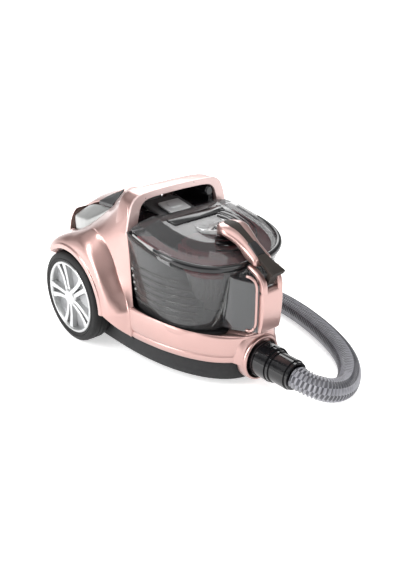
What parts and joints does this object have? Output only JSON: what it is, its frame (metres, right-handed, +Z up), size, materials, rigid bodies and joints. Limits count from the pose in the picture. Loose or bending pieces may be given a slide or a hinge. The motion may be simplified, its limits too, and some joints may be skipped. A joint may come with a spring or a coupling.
{
  "type": "canister vacuum cleaner",
  "caption": "Bagless canister vacuum cleaner with a clear dust container, large rear wheels, a front caster and a corrugated suction hose.",
  "frame": {"origin": "on the floor at the centre of the machine's bounding box without the hose", "axes": "+X forward towards the hose port, +Y to the machine's left, +Z up"},
  "size_m": [0.957, 0.6225, 0.2886],
  "materials": {
    "shell": "metallic rose lacquer on moulded plastic",
    "trim": "light rose, satin",
    "charcoal": "fine moulded texture",
    "gloss_black": "polished",
    "inlay": "satin",
    "smoke": "clear smoked plastic",
    "rubber": "matte",
    "motor_metal": "cast",
    "aluminium": "pressed",
    "filter": "foam and paper",
    "steel": "turned",
    "board": "printed board",
    "pedal": "silver lacquer",
    "tyre": "matte rubber",
    "wheel_silver": "silver lacquer",
    "chrome": "polished",
    "cyclone_red": "dark red moulded",
    "filter_grey": "pleated",
    "soft_brown": "soft-touch",
    "hose": "corrugated, slightly translucent"
  },
  "bodies": {
    "machine": {"chassis_base": "charcoal", "upper_shell": "shell", "top_cover": "shell", "top_inlays": "inlay", "carry_arch": "shell", "arch_trim": "trim", "arch_liner": "gloss_black", "latch_deck": "smoke", "bulkhead": "gloss_black", "bin_tray": "charcoal", "inlet_elbow": "charcoal", "port_ring": "shell", "port_seal": "rubber", "motor_housing": "charcoal", "motor": "motor_metal", "motor_mounts": "rubber", "pre_motor_filter": "filter", "exhaust_filter": "filter", "cord_gland": "rubber", "reel_axle": "steel", "control_board": "board", "pedal_pins": "steel", "wheel_axles": "steel", "axle_clips": "steel", "housing_screws": "steel", "hose_collar": "gloss_black", "hose_sleeve": "gloss_black", "hose_tube": "hose", "end_cuff": "gloss_black", "wand_socket": "charcoal", "exhaust_grille": "charcoal"},
    "fan": {"fan": "aluminium"},
    "cord_reel": {"cord_reel": "charcoal"},
    "power_pedal": {"power_pedal": "pedal"},
    "rewind_pedal": {"rewind_pedal": "pedal"},
    "wheel_left": {"tyre_left": "tyre", "rim_left": "wheel_silver", "hub_cap_left": "wheel_silver"},
    "wheel_right": {"tyre_right": "tyre", "rim_right": "wheel_silver", "hub_cap_right": "wheel_silver"},
    "caster": {"caster_fork": "charcoal", "caster_axle": "steel"},
    "caster_wheel": {"caster_wheel": "tyre"},
    "release_button": {"release_button": "chrome"},
    "bin": {"dust_container": "smoke", "front_duct": "smoke", "front_post": "shell", "cyclone_shroud": "cyclone_red", "cyclone_filter": "filter_grey", "lid_hinge_pins": "steel"},
    "lid": {"lid": "smoke", "lid_ring": "gloss_black", "lid_seal": "rubber", "bin_handle": "shell", "handle_grip": "soft_brown", "lever_pin": "steel"},
    "release_lever": {"release_lever": "soft_brown"},
    "collar_latch": {"collar_latch": "gloss_black"}
  },
  "joints": [
    {"name": "wheel_left_spin", "type": "hinge", "parent": "machine", "child": "wheel_left", "pos_m": [-0.111, 0.1275, 0.082], "axis": [0, 1, 0], "continuous": true},
    {"name": "wheel_right_spin", "type": "hinge", "parent": "machine", "child": "wheel_right", "pos_m": [-0.111, -0.1275, 0.082], "axis": [0, 1, 0], "continuous": true},
    {"name": "caster_swivel", "type": "hinge", "parent": "machine", "child": "caster", "pos_m": [0.112, 0, 0.05], "axis": [0, 0, 1], "continuous": true},
    {"name": "caster_wheel_spin", "type": "hinge", "parent": "caster", "child": "caster_wheel", "pos_m": [0.1, 0, 0.022], "axis": [0, 1, 0], "continuous": true},
    {"name": "fan_spin", "type": "hinge", "parent": "machine", "child": "fan", "pos_m": [-0.07, 0, 0.152], "axis": [1, 0, 0], "continuous": true},
    {"name": "reel_spin", "type": "hinge", "parent": "machine", "child": "cord_reel", "pos_m": [-0.15, 0, 0.03], "axis": [0, 0, 1], "continuous": true},
    {"name": "power_pedal_press", "type": "hinge", "parent": "machine", "child": "power_pedal", "pos_m": [-0.103, -0.057, 0.2195], "axis": [0, -1, 0], "range_deg": [0, 3], "stiffness_Nm_per_rad": 2, "springref_deg": -5.73},
    {"name": "rewind_pedal_press", "type": "hinge", "parent": "machine", "child": "rewind_pedal", "pos_m": [-0.103, 0.057, 0.2195], "axis": [0, -1, 0], "range_deg": [0, 3], "stiffness_Nm_per_rad": 2, "springref_deg": -5.73},
    {"name": "release_button_press", "type": "slide", "parent": "machine", "child": "release_button", "axis": [-0.1961, 0, -0.9806], "range_m": [0, 0.003], "stiffness_N_per_m": 500, "springref_m": -0.002},
    {"name": "bin_lift", "type": "slide", "parent": "machine", "child": "bin", "axis": [0, 0, 1], "range_m": [0, 0.16]},
    {"name": "lid_open", "type": "hinge", "parent": "bin", "child": "lid", "pos_m": [0.02844, 0, 0.23321], "axis": [0, -1, 0], "range_deg": [0, 45]},
    {"name": "release_lever_lift", "type": "hinge", "parent": "lid", "child": "release_lever", "pos_m": [0.2, 0, 0.222], "axis": [0, -1, 0], "range_deg": [0, 10], "stiffness_Nm_per_rad": 0.3, "springref_deg": -8.59},
    {"name": "collar_latch_press", "type": "slide", "parent": "machine", "child": "collar_latch", "axis": [0, 0, -1], "range_m": [0, 0.0025], "stiffness_N_per_m": 300, "springref_m": -0.002}
  ]
}
